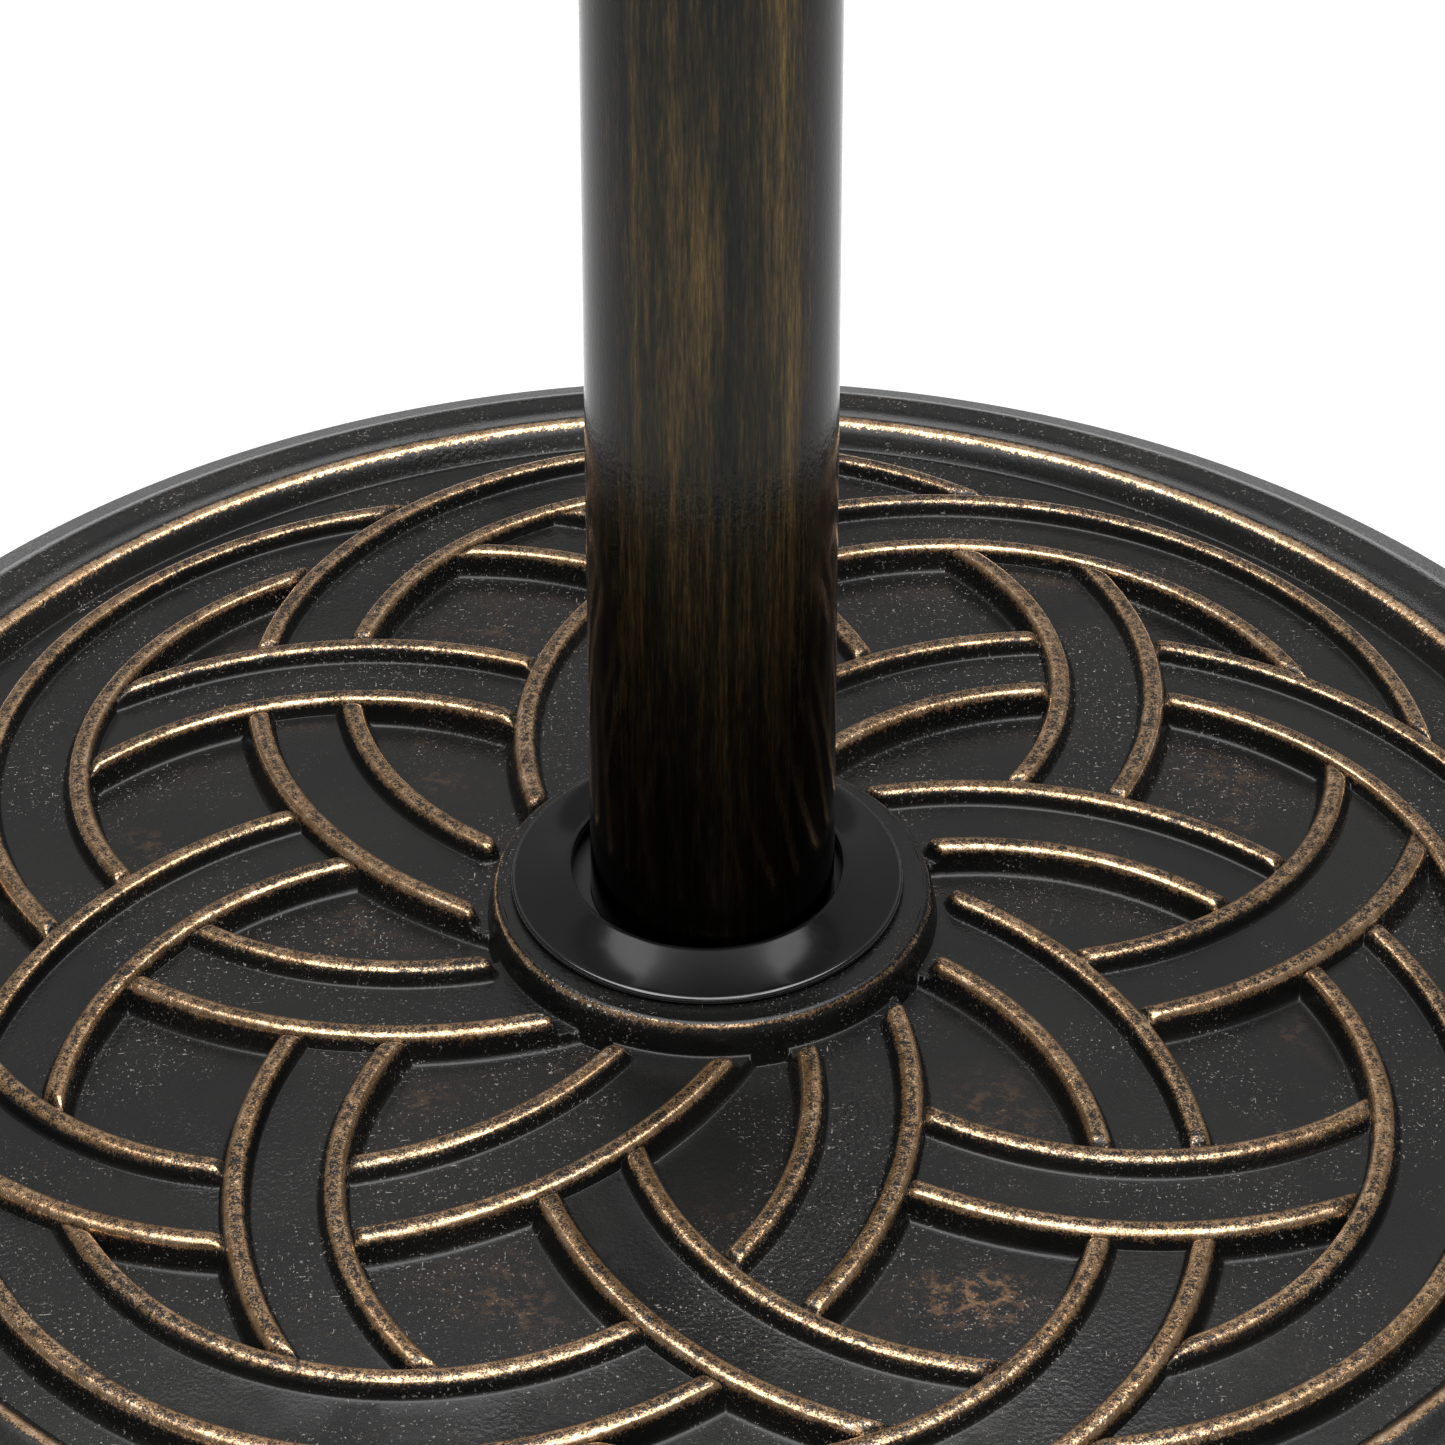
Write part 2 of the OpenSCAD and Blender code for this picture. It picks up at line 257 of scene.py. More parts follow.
def bronze_cast():
    M = Mat("bronze_casting")
    rub_and_highlight, mid = M.attr("rub_and_highlight"), M.attr("mid")
    big = M.noise(26, 4, 0.55)
    fine = M.noise(2300, 3, 0.62, loc=(3, 1, 2))
    blot = M.noise(260, 4, 0.62, loc=(7, 2, 5))
    wide = M.noise(34, 3, 0.5, loc=(2, 6, 1))
    grain = M.noise(2600, 2, 0.6)
    # dark paint
    paint = M.mix(M.step(big, 0.3, 0.7), (0.0046, 0.0048, 0.0048), (0.0086, 0.0083, 0.0078))
    # worn patches in the middle of the pockets, the largest on the front right
    spot = M.noise(1.0, 6, 0.78, stretch=(300, 380, 500), loc=(0.4, 0.4, 0.1))
    near = M.n("ShaderNodeVectorMath", operation="LENGTH")
    M.link(M.coords((52, 80, 20), (-52 * 0.052, 80 * 0.109, -20 * 0.034)), near.inputs[0])
    patch = M.step(near.outputs["Value"], 0.15, 1.0, 1.0, 0.0)
    few = M.math("MULTIPLY", M.step(M.noise(24, 3, 0.55, loc=(1, 9, 4)), 0.50, 0.66), 0.34)
    worn = M.math("MULTIPLY", M.math("MULTIPLY", mid, M.math("MAXIMUM", patch, few)), M.step(spot, 0.48, 0.62))
    paint = M.mix(M.math("MULTIPLY", worn, 0.85), paint, (0.185, 0.102, 0.046))
    # rubbed copper on the raised edges, also carrying the painted highlight on the hub's edge at front left
    k = M.math("ADD", rub_and_highlight, M.math("MULTIPLY", M.math("SUBTRACT", fine, 0.5), 1.9))
    k = M.math("ADD", k, M.math("MULTIPLY", M.math("SUBTRACT", blot, 0.5), 0.40))
    mott = M.noise(720, 3, 0.62, loc=(1, 4, 6))
    k = M.math("ADD", k, M.math("MULTIPLY", M.math("SUBTRACT", mott, 0.5), 1.1))
    k = M.math("ADD", k, M.math("MULTIPLY", M.math("SUBTRACT", wide, 0.5), 0.6))
    mask = M.step(k, 0.42, 0.92)
    tone = M.math("ADD", M.math("MULTIPLY", M.math("ADD", blot, mott), 0.28), M.math("MULTIPLY", fine, 0.44))
    tone = M.math("ADD", tone, M.math("MULTIPLY", M.math("SUBTRACT", rub_and_highlight, 0.78), 0.22))
    copper = M.ramp(tone, [(0.34, (0.105, 0.055, 0.022)), (0.45, (0.28, 0.155, 0.066)), (0.54, (0.60, 0.365, 0.180)), (0.65, (0.92, 0.72, 0.54))])
    col = M.mix(M.math("MULTIPLY", mask, 0.95), paint, copper)
    # tiny nicks and scratches where the paint is gone
    field = M.step(M.noise(30, 3, 0.6, loc=(5, 5, 5)), 0.43, 0.60)
    nick = M.step(M.noise(1350, 3, 0.7, loc=(9, 2, 7)), 0.62, 0.68)
    sc1 = M.noise(1.0, 2, 0.5, vec=M.coords((1900, 260, 800), (0, 0, 0), (0, 0, 0.9)))
    sc2 = M.noise(1.0, 2, 0.5, vec=M.coords((280, 1900, 800), (0.2, 0, 0), (0, 0, 0.5)))
    scr = M.step(M.math("MAXIMUM", sc1, sc2), 0.725, 0.765)
    mark = M.math("MULTIPLY", M.math("MAXIMUM", nick, scr), field)
    # bright near-white specks along the front left of the hub's edge, where the edge catches the light: painted glints
    # along with chips
    side = M.n("ShaderNodeVectorMath", operation="LENGTH")
    M.link(M.coords((42, 42, 20), (42 * 0.026, 42 * 0.035, -20 * 0.036)), side.inputs[0])
    hub_glints_and_chips = M.math("MULTIPLY", M.step(side.outputs["Value"], 0.40, 0.90, 1.0, 0.0), M.step(rub_and_highlight, 0.20, 0.55))
    hub_glints_and_chips = M.math("MULTIPLY", hub_glints_and_chips, M.step(M.noise(950, 3, 0.7, loc=(3, 8, 4)), 0.57, 0.62))
    scuff = M.math("MULTIPLY", M.step(M.noise(900, 4, 0.7, loc=(4, 4, 2)), 0.54, 0.66), M.step(M.noise(38, 3, 0.6, loc=(2, 3, 9)), 0.52, 0.68))
    col = M.mix(M.math("MULTIPLY", scuff, 0.20), col, (0.100, 0.066, 0.038))
    col = M.mix(M.math("MULTIPLY", mark, 0.75), col, (0.42, 0.38, 0.34))
    # near-white painted glints and chips on the front left of the hub's edge
    col = M.mix(M.math("MULTIPLY", hub_glints_and_chips, 0.9), col, (0.80, 0.76, 0.70))
    M.set(color=col, metallic=M.math("MULTIPLY", mask, 0.92), spec=0.40, coat=M.math("MULTIPLY", mask, 0.8), coat_rough=0.17,
          rough=M.math("ADD", M.math("ADD", 0.24, M.math("MULTIPLY", grain, 0.08)), M.math("MULTIPLY", mask, -0.03)))
    peel = M.math("MULTIPLY", M.noise(1000, 2, 0.5, loc=(2, 8, 1)), M.step(M.noise(22, 2, 0.5, loc=(8, 3, 2)), 0.46, 0.64, 0.12, 1.0))
    M.bump([(peel, 1.0, 0.00018), (M.noise(120, 3, 0.5), 0.25, 0.00025), (fine, 0.18, 0.00010), (M.math("MULTIPLY", mark, -1.0), 0.5, 0.00012)])
    return M.m


def bronze_tube(name="bronze_tube"):
    M = Mat(name)
    fine = M.noise(1.0, 4, 0.74, stretch=(2100, 2100, 150), loc=(0.3, 0.1, 0.7))
    mid = M.noise(1.0, 4, 0.62, stretch=(560, 560, 19), dist=0.1)
    wide = M.noise(1.0, 3, 0.5, stretch=(88, 88, 6.5), loc=(0.5, 0.3, 0.2))
    v = M.math("ADD", M.math("MULTIPLY", fine, 0.36), M.math("ADD", M.math("MULTIPLY", mid, 0.30), M.math("MULTIPLY", wide, 0.34)))
    col = M.ramp(v, [(0.41, (0.0030, 0.0048, 0.0034)), (0.475, (0.0100, 0.0104, 0.0062)), (0.52, (0.0260, 0.0190, 0.0085)),
                     (0.575, (0.062, 0.041, 0.0150)), (0.66, (0.150, 0.098, 0.036))])
    xyz = M.n("ShaderNodeSeparateXYZ")
    M.link(M.tc.outputs["Object"], xyz.inputs[0])
    # painted shade: the tube's colour runs to near black towards its foot, standing in for the dark base reflected
    # there, with a wavy edge
    foot = M.math("SUBTRACT", xyz.outputs["Z"], M.math("MULTIPLY", M.math("SUBTRACT", wide, 0.5), 0.12))
    col = M.mix(M.step(foot, 0.055, 0.190, 0.24, 1.0), (0.0022, 0.0024, 0.0018), col)
    M.set(color=col, metallic=1.0, rough=M.step(fine, 0.3, 0.7, 0.30, 0.40), coat=1.0, coat_rough=M.step(mid, 0.3, 0.7, 0.09, 0.15))
    M.b.inputs["Coat IOR"].default_value = 1.24
    M.b.inputs["Specular Tint"].default_value = (0.10, 0.09, 0.08, 1)
    M.bump([(M.noise(1.0, 2, 0.5, stretch=(1500, 1500, 700)), 0.35, 0.00010), (fine, 0.2, 0.00006)])
    M.link(M.b.inputs["Normal"].links[0].from_socket, M.b.inputs["Coat Normal"])
    return M.m


def black_plastic(name, base=0.012, rough=0.42, grain=1500, gd=0.00006, coat=0.0, spec=0.5):
    M = Mat(name)
    n = M.noise(30, 4, 0.6)
    g = M.noise(grain, 3, 0.6)
    M.set(color=M.mix(M.step(n, 0.3, 0.7), (base * 0.8, base * 0.8, base * 0.82), (base * 1.25, base * 1.22, base * 1.2)),
          rough=M.math("ADD", rough - 0.04, M.math("MULTIPLY", g, 0.09)), spec=spec, coat=coat, coat_rough=0.12)
    M.bump([(g, 0.3, gd)])
    return M.m


def cover_plastic(edge_r):
    m = black_plastic("gloss_black_plastic", 0.0062, 0.12, 700, 0.000010, spec=0.24)
    t = m.node_tree
    tc = t.nodes.new("ShaderNodeTexCoord")
    flat = t.nodes.new("ShaderNodeVectorMath"); flat.operation = "MULTIPLY"; flat.inputs[1].default_value = (1, 1, 0)
    far = t.nodes.new("ShaderNodeVectorMath"); far.operation = "LENGTH"
    rng = t.nodes.new("ShaderNodeMapRange"); rng.interpolation_type = "SMOOTHSTEP"
    t.links.new(tc.outputs["Object"], flat.inputs[0]); t.links.new(flat.outputs[0], far.inputs[0]); t.links.new(far.outputs["Value"], rng.inputs["Value"])
    for k, v in (("From Min", (edge_r - 1.1) * MM), ("From Max", (edge_r - 0.5) * MM), ("To Min", 0.24), ("To Max", 1.0)):
        rng.inputs[k].default_value = v
    t.links.new(rng.outputs["Result"], t.nodes["Principled BSDF"].inputs["Specular IOR Level"])
    return m


def metal(name, base, rough, stretch=(900, 900, 900), tint=0.12, rust=0.0):
    M = Mat(name)
    g = M.noise(1.0, 4, 0.6, stretch=stretch)
    n = M.noise(45, 4, 0.6)
    dark = tuple(c * (1 - tint) for c in base)
    col = M.mix(M.step(n, 0.3, 0.7), dark, base)
    if rust: col = M.mix(M.math("MULTIPLY", M.step(M.noise(160, 5, 0.7, loc=(3, 3, 3)), 0.58, 0.72), rust), col, (0.16, 0.075, 0.035))
    M.set(color=col, metallic=1.0, rough=M.math("ADD", rough - 0.06, M.math("MULTIPLY", g, 0.14)))
    M.bump([(g, 0.25, 0.00005)])
    return M.m


def rubber():
    M = Mat("rubber")
    g = M.noise(1200, 3, 0.65); n = M.noise(60, 4, 0.6)
    M.set(color=M.mix(n, (0.012, 0.012, 0.012), (0.026, 0.025, 0.024)), rough=M.math("ADD", 0.72, M.math("MULTIPLY", g, 0.15)), spec=0.3)
    M.bump([(g, 0.4, 0.0001)])
    return M.m


def cement():
    M = Mat("cement")
    n = M.noise(90, 6, 0.65); v = M.voronoi(260)
    col = M.ramp(n, [(0.3, (0.23, 0.22, 0.20)), (0.7, (0.40, 0.385, 0.36))])
    M.set(color=col, rough=M.math("ADD", 0.82, M.math("MULTIPLY", n, 0.12)), spec=0.2)
    M.bump([(n, 0.6, 0.0008), (v.outputs["Distance"], 0.3, 0.0006)])
    return M.m


MATS = {
    "cast": bronze_cast(), "tube": bronze_tube(), "cement": cement(), "rubber": rubber(),
    "cover": cover_plastic(COVER_R + 0.9),
    "satin": black_plastic("satin_black_plastic", 0.011, 0.46, 1400, 0.00008),
    "nylon": black_plastic("black_nylon", 0.010, 0.55, 1800, 0.00005),
    "plate": black_plastic("black_steel", 0.012, 0.50, 800, 0.00010),
    "zinc": metal("zinc_steel", (0.62, 0.62, 0.60), 0.34),
    "steel": metal("bare_steel", (0.42, 0.41, 0.40), 0.42, rust=0.5),
}


def paint(ob, key):
    ob.data.materials.clear()
    ob.data.materials.append(MATS[key])
    return ob


# ------------------------------------------------------------------ the casting's relief
# section of one band, outwards from its centreline: distance, height above the pocket floor, rubbed copper
PROF = np.array([
    (0.0, 2.60, 0), (6.2, 2.60, 0), (6.5, 2.64, 0), (6.8, 2.82, 0), (7.0, 3.10, 0), (7.2, 3.60, .0), (7.45, 4.50, .08), (7.7, 5.20, .28),
    (8.0, 5.68, .60), (8.4, 5.98, .84), (9.0, 6.17, .70), (9.8, 6.22, .58), (10.6, 6.20, .64), (11.2, 6.10, .84), (11.65, 5.88, 1.05),
    (12.0, 5.50, .9), (12.25, 5.00, .6), (12.45, 4.30, .28), (12.8, 2.60, .02), (13.1, 1.30, 0), (13.3, 0.75, 0),
    (13.6, 0.33, 0), (13.95, 0.08, 0), (14.3, 0.0, 0)])
FLOOR_H, CREST, REACH = 2.6, 9.7, 14.3
RIDGE = np.array([(0.0, 3.62), (0.7, 3.57), (1.3, 3.38), (1.7, 3.08), (2.0, 2.60), (2.25, 1.9), (2.5, 1.0), (2.7, 0.5), (2.9, 0.22), (3.2, 0.04), (3.4, 0.0)])
EXIST = -127.8
HUBW = np.array([(40, 57.0), (43.4, 57.0), (44.1, 56.85), (44.7, 56.4), (45.15, 55.6), (45.5, 54.2), (46.0, 50.9),
                 (46.5, 47.6), (46.8, 46.3), (47.4, 44.0), (50, 30)])
RIMW = np.array([(-24, 10.0), (-8.0, 24.0), (-6.4, 30.0), (-5.6, 32.6), (-4.7, 34.2), (-3.4, 35.9), (-2.4, 36.9),
                 (-1.6, 37.45), (-0.8, 37.7), (0, 37.75), (1, 37.7)])


def crown(r):
    t = np.maximum(0.0, (r - 44.5) / (BEAD_R - 44.2))
    return CROWN_H - DROP * (0.352 * t + 0.648 * t * t)


def smax(a, b, k):
    h = np.clip(0.5 + 0.5 * (a - b) / k, 0, 1)
    return b + (a - b) * h + k * h * (1 - h)


def bands(x, y):
    """For points: height above the pocket floor, rubbed copper, and each band's own coordinates."""
    n = len(x)
    r = np.hypot(x, y)
    S = np.empty((NB, n)); PSI = np.empty((NB, n))
    for i in range(NB):
        a = math.radians(PHASE + 360 / NB * i)
        u = x * math.cos(a) + y * math.sin(a) - BAND_C
        v = -x * math.sin(a) + y * math.cos(a)
        S[i] = np.hypot(u, v) - BAND_R
        PSI[i] = np.degrees(np.arctan2(v, u))
    near = PSI > EXIST
    live = (np.abs(S) < REACH) & near
    end = np.maximum(0.0, 51.0 - r)                    # the ridges end in a round nose before the hub
    H = np.zeros(n); R = np.zeros(n)
    for i in range(NB):
        sa = np.abs(S[i])
        hid = ~live[i]
        dip = np.ones(n)
        for d in (1, 2, 3):
            j, k = (i + d) % NB, (i - d) % NB
            if d == 2: o, below = j, (PSI[i] > 0) & (PSI[j] < 0) & near[j]
            else: o, below = k, (PSI[i] < 0) & (PSI[k] > 0) & near[k]
            hid |= below & (np.abs(S[o]) < 10.1)
            t = np.clip((np.abs(S[o]) - 12.5) / 2.3, 0, 1)   # and sink a little where they butt against the band above
            dip = np.where(below & (np.abs(S[o]) < 15.0), np.minimum(dip, 0.52 + 0.48 * np.sqrt(t * (2 - t))), dip)
        p = np.interp(sa, PROF[:, 0], PROF[:, 1])
        q = np.hypot(sa - CREST, end)
        nose = np.where((end > 0) & (p > FLOOR_H), np.minimum(1.0, np.interp(q, RIDGE[:, 0], RIDGE[:, 1]) / np.maximum(np.interp(np.abs(sa - CREST), RIDGE[:, 0], RIDGE[:, 1]), 0.02)), 1.0)
        T = np.minimum(dip, nose)
        p = np.where(p > FLOOR_H, FLOOR_H + (p - FLOOR_H) * T, p)
        p = np.where(hid, 0, p)
        win = p > H
        R = np.where(win, np.interp(sa, PROF[:, 0], PROF[:, 2]) * np.clip(1.6 * T - 0.6, 0, 1), R)
        H = np.where(win, p, H)
    return H, R, S, PSI, live


def surf(x, y):
    H, R, S, PSI, live = bands(x, y)
    r = np.hypot(x, y)
    z = crown(r) - 6.2 + H
    z = smax(z, np.interp(r, HUBW[:, 0], HUBW[:, 1]), 0.55)
    z = smax(z, np.interp(r, RIMW[:, 0] + BEAD_R, RIMW[:, 1]), 1.2)
    return z, H, R, S


def relief_plan():
    pts, edges = [], []

    def line(P, closed=False, keep=None):
        idx = []
        for k, p in enumerate(P):
            if keep is None or keep[k]:
                idx.append(len(pts)); pts.append((p[0], p[1]))
            else:
                idx.append(-1)
        m = len(P)
        for k in range(m if closed else m - 1):
            a, b = idx[k], idx[(k + 1) % m]
            if a >= 0 and b >= 0: edges.append((a, b))

    ang = np.radians(np.arange(SEG) * 360 / SEG)
    for rr in [43.4, 44.1, 44.7, 45.15, 45.5, 45.8, 46.1, 46.4, 46.65] + [BEAD_R + d for d in
              (-7.4, -6.6, -6.0, -5.3, -4.6, -3.4, -2.4, -1.6, -0.8, 0.0)]:
        line(np.c_[rr * np.cos(ang), rr * np.sin(ang)], True)
    close = np.radians(np.arange(2 * SEG) * 180 / SEG)
    for rr in (46.9, 47.15, 47.4, 47.65, 47.9, 48.15, 48.45, 48.8, 49.2, 49.6, 50.0, 50.5, 51.0):
        line(np.c_[rr * np.cos(close), rr * np.sin(close)], True)
    psi = np.radians(np.arange(-129.5, 152, 2.4))
    for i in range(NB):
        a = math.radians(PHASE + 360 / NB * i)
        for s in list(PROF[1:, 0]) + [15.0]:
            for sg in (-1, 1):
                rho = BAND_R + sg * s
                u = BAND_C + rho * np.cos(psi); v = rho * np.sin(psi)
                x = u * math.cos(a) - v * math.sin(a); y = u * math.sin(a) + v * math.cos(a)
                H, R, S, PSI, live = bands(x, y)
                keep = np.hypot(x, y) > 46.75
                for d in (1, 2, 3):
                    j, k = (i + d) % NB, (i - d) % NB
                    if d == 2: keep &= ~((PSI[i] > 0) & (PSI[j] < 0) & live[j] & (np.abs(S[j]) < 9.2))
                    else: keep &= ~((PSI[i] < 0) & (PSI[k] > 0) & live[k] & (np.abs(S[k]) < 9.2))
                line(np.c_[x, y], False, keep)
    g = np.array([(ix * 5.0 + (iy % 2) * 2.5, iy * 4.33) for iy in range(-44, 45) for ix in range(-40, 41)])
    r = np.hypot(*g.T)
    H, R, S, PSI, live = bands(g[:, 0], g[:, 1])
    ok = (r > 52) & (r < BEAD_R - 9) & (np.abs(np.abs(S) - 10.5).min(0) > 4.8)
    for p in g[ok]: pts.append((p[0], p[1]))
    return pts, edges


def build_casting():
    pts, edges = relief_plan()
    V, E, F, *_ = delaunay_2d_cdt([Vector(p) for p in pts], edges, [], 0, 1e-5)
    P = np.array([(v.x, v.y) for v in V])
    rad = np.hypot(*P.T)
    # drop the triangles inside the hub
    F = [f for f in F if P[list(f)].mean(0) @ P[list(f)].mean(0) > 43.3 ** 2]
    z, H, R, S = surf(P[:, 0], P[:, 1])
    e = 0.06
    gx = (surf(P[:, 0] + e, P[:, 1])[0] - surf(P[:, 0] - e, P[:, 1])[0]) / (2 * e)
    gy = (surf(P[:, 0], P[:, 1] + e)[0] - surf(P[:, 0], P[:, 1] - e)[0]) / (2 * e)
    verts = [(p[0], p[1], zz) for p, zz in zip(P, z)]
    nrm = np.c_[-gx, -gy, np.ones(len(gx))]
    nrm /= np.linalg.norm(nrm, axis=1)[:, None]
    # rubbed copper on the rim bead, worn middles of the pockets; on the hub's edge rubbed copper plus a painted
    # highlight, made strongest at the front left where the edge catches the light
    az = np.arctan2(P[:, 1], P[:, 0])
    rub_and_highlight = np.maximum(R, (0.72 + 0.34 * np.cos(az - math.radians(222))) * np.exp(-((rad - 44.7) / 0.42) ** 2))
    rub_and_highlight = np.maximum(rub_and_highlight, 1.05 * np.exp(-((rad - (BEAD_R - 0.9)) / 1.5) ** 4))
    away = np.abs(np.abs(S) - 10.5).min(0) - 3.9
    mid = np.clip(away / 9.0, 0, 1) * (H < 0.02) * (rad < 150)
    # the turned rest of the casting: rim, skirt, cavity, web and socket, back to the hub's top
    lip = [(0.9, 37.62), (2.0, 37.25), (4.0, 36.35), (7.0, 35.15), (9.5, 34.55), (11.5, 34.45), (13.2, 34.5), (14.8, 34.2),
           (16.8, 33.2), (19.0, 31.6), (21.5, 29.3)]
    turned = [(BEAD_R + d, zz) for d, zz in lip]
    cx, cz, cr = BASE_R - 12.0, 18.6, 12.0
    for a in np.arange(52, -1, -8.0):
        turned.append((cx + cr * math.cos(math.radians(a)), cz + cr * math.sin(math.radians(a))))
    turned += [(BASE_R, 12), (BASE_R - 0.1, 6.4), (BASE_R - 0.6, 5.0), (BASE_R - 1.6, SKIRT_Z + 0.15), (BASE_R - 3, SKIRT_Z)]
    n_show = len(turned)

    def under(r): return min(crown(np.array(r)) - 13.2, 26 - (r - 200) * 0.45 + max(0, 200 - r))
    back = [(BASE_R - 8.6, SKIRT_Z), (BASE_R - 9.5, SKIRT_Z + 0.8), (BASE_R - 9.5, 8.05), (209, 8.05), (209, under(209))]
    back += [(r, float(under(r))) for r in np.linspace(200, 46.2, 7)]
    back += [(46.2, 8.05), (25, 8.05), (24, 9), (23.5, 16.2), (22.7, 17), (6.5, 17), (6.5, 25), (30.2, 25), (30.2, 54.9),
             (34.2, 55.0), (34.2, 56.6), (34.6, HUB_TOP)]
    turned += back
    ang = np.arctan2(P[:, 1], P[:, 0])
    ring_of = lambda rr: {int(round(math.degrees(a) % 360)) % SEG: k for k, a in enumerate(ang) if abs(rad[k] - rr) < 1e-3}
    outer, inner = ring_of(BEAD_R), ring_of(43.4)
    assert len(outer) == SEG and len(inner) == SEG, (len(outer), len(inner))
    rows = [[outer[s] for s in range(SEG)]]
    for r, zz in turned:
        row = []
        for s in range(SEG):
            a = math.radians(s)
            row.append(len(verts)); verts.append((r * math.cos(a), r * math.sin(a), zz))
        rows.append(row)
    rows.append([inner[s] for s in range(SEG)])
    faces = [tuple(f) for f in F]
    for A, B in zip(rows, rows[1:]):
        for s in range(SEG):
            t = (s + 1) % SEG
            faces.append((A[t], A[s], B[s], B[t]))
    n = len(verts)
    rub_and_highlight = np.r_[rub_and_highlight, np.zeros(n - len(rub_and_highlight))]
    mid = np.r_[mid, np.zeros(n - len(mid))]
    for k, (r, zz) in enumerate(turned):
        v = 0.0
        if k < len(lip): v = 0.35 if r - BEAD_R < 1 else 0.0
        if k < n_show: v = max(v, 0.16 * math.exp(-((r - (BEAD_R + 14.2)) / 2.0) ** 2))
        for q in rows[k + 1]: rub_and_highlight[q] = v
    ob = make("base_casting_detail", verts, faces)
    bm = bmesh.new(); bm.from_mesh(ob.data)
    bmesh.ops.recalc_face_normals(bm, faces=bm.faces)
    bm.to_mesh(ob.data); bm.free()
    me = ob.data
    for nm, arr in (("rub_and_highlight", rub_and_highlight), ("mid", mid)):
        at = me.attributes.new(nm, "FLOAT", "POINT")
        at.data.foreach_set("value", arr.astype(np.float32))
    sharp(ob, 38)
    me.polygons.foreach_set("use_smooth", [True] * len(me.polygons))
    # exact normals on the relief, the mesh's own elsewhere
    cn = np.zeros(len(me.loops) * 3, np.float32)
    me.corner_normals.foreach_get("vector", cn)
    cn = cn.reshape(-1, 3)
    lv = np.zeros(len(me.loops), np.int32); me.loops.foreach_get("vertex_index", lv)
    inside = (lv < len(P))
    rel = inside & (np.r_[rad, np.zeros(n - len(rad))][lv] > 43.9) & (np.r_[rad, np.zeros(n - len(rad))][lv] < BEAD_R - 0.2)
    cn[rel] = nrm[lv[rel]]
    me.normals_split_custom_set([tuple(map(float, v)) for v in cn])
    return ob


casting = paint(build_casting(), "cast")
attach(casting, "base"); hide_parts("base_casting")

# ------------------------------------------------------------------ flange cover
z = COVER_Z
CR, hole = COVER_R + 0.9, 27.8
top = [(CR - 0.10, z + 0.35), (CR, z + 0.75), (CR - 0.05, z + 1.05), (CR - 0.20, z + 1.32), (CR - 0.42, z + 1.49), (CR - 0.7, z + 1.58)]
skin = []                                    # gently flared, steeper towards the hole
rho, zz = CR - 1.0, z + 1.62
while rho > hole + 0.55:
    skin.append((rho, zz))
    deg = np.interp(rho, [28.3, 30.0, 33.0, 36.5, 39.2], [19.5, 19, 17.5, 14.5, 11.5])
    zz += math.tan(math.radians(float(deg))) * 0.55
    rho -= 0.55
top += skin
zt = skin[-1][1]
top += [(hole + 0.2, zt - 0.05), (hole, zt - 0.3), (hole, zt - 1.3)]
top += [(r, q - 1.15) for r, q in reversed(skin[2:])]
top += [(CR - 2.0, z), (CR - 0.4, z)]
cover = paint(lathe("flange_cover_skin", top, 256), "cover")
sharp(cover, 40)
cover.location = (-0.0011, 0.0013, 0)
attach(cover, "flange_cover"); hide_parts("flange_cover")

# ------------------------------------------------------------------ clamp knob, stud, cap, boss and weld
def fan(name, rings, closed_ends=True, axis="x"):
    """Skins a stack of rings (each the same number of points) and caps both ends."""
    verts, faces = [], []
    n = len(rings[0])
    for r in rings: verts += list(r)
    for i in range(len(rings) - 1):
        for k in range(n):
            m = (k + 1) % n
            faces.append((i * n + k, i * n + m, (i + 1) * n + m, (i + 1) * n + k))
    if closed_ends:
        faces.append(tuple(range(n - 1, -1, -1)))
        faces.append(tuple((len(rings) - 1) * n + k for k in range(n)))
    ob = make(name, verts, faces)
    outward(ob)
    return ob


def joined(name, obs):
    """One object out of several."""
    bm = bmesh.new()
    for o in obs:
        me = o.data.copy(); me.transform(o.matrix_basis); bm.from_mesh(me); bpy.data.meshes.remove(me)
        old = o.data; bpy.data.objects.remove(o); bpy.data.meshes.remove(old)
    me = bpy.data.meshes.new(name); bm.to_mesh(me); bm.free()
    ob = bpy.data.objects.new(name, me); bpy.context.scene.collection.objects.link(ob)
    return ob


def cut(ob, tools):
    """Takes the tools away from ob."""
    for t in tools:
        md = ob.modifiers.new("cut", "BOOLEAN"); md.operation = "DIFFERENCE"; md.solver = "EXACT"; md.object = t
    dg = bpy.context.evaluated_depsgraph_get()
    me = bpy.data.meshes.new_from_object(ob.evaluated_get(dg))
    old = ob.data; ob.modifiers.clear(); ob.data = me; me.name = ob.name; bpy.data.meshes.remove(old)
    for t in tools:
        old = t.data; bpy.data.objects.remove(t); bpy.data.meshes.remove(old)
    return ob


def block(name, x0, y0, z0, x1, y1, z1):
    v = [(x, y, z) for x in (x0, x1) for y in (y0, y1) for z in (z0, z1)]
    f = [(0, 1, 3, 2), (4, 6, 7, 5), (0, 4, 5, 1), (2, 3, 7, 6), (0, 2, 6, 4), (1, 5, 7, 3)]
    ob = make(name, v, f, smooth=False)
    outward(ob)
    return ob


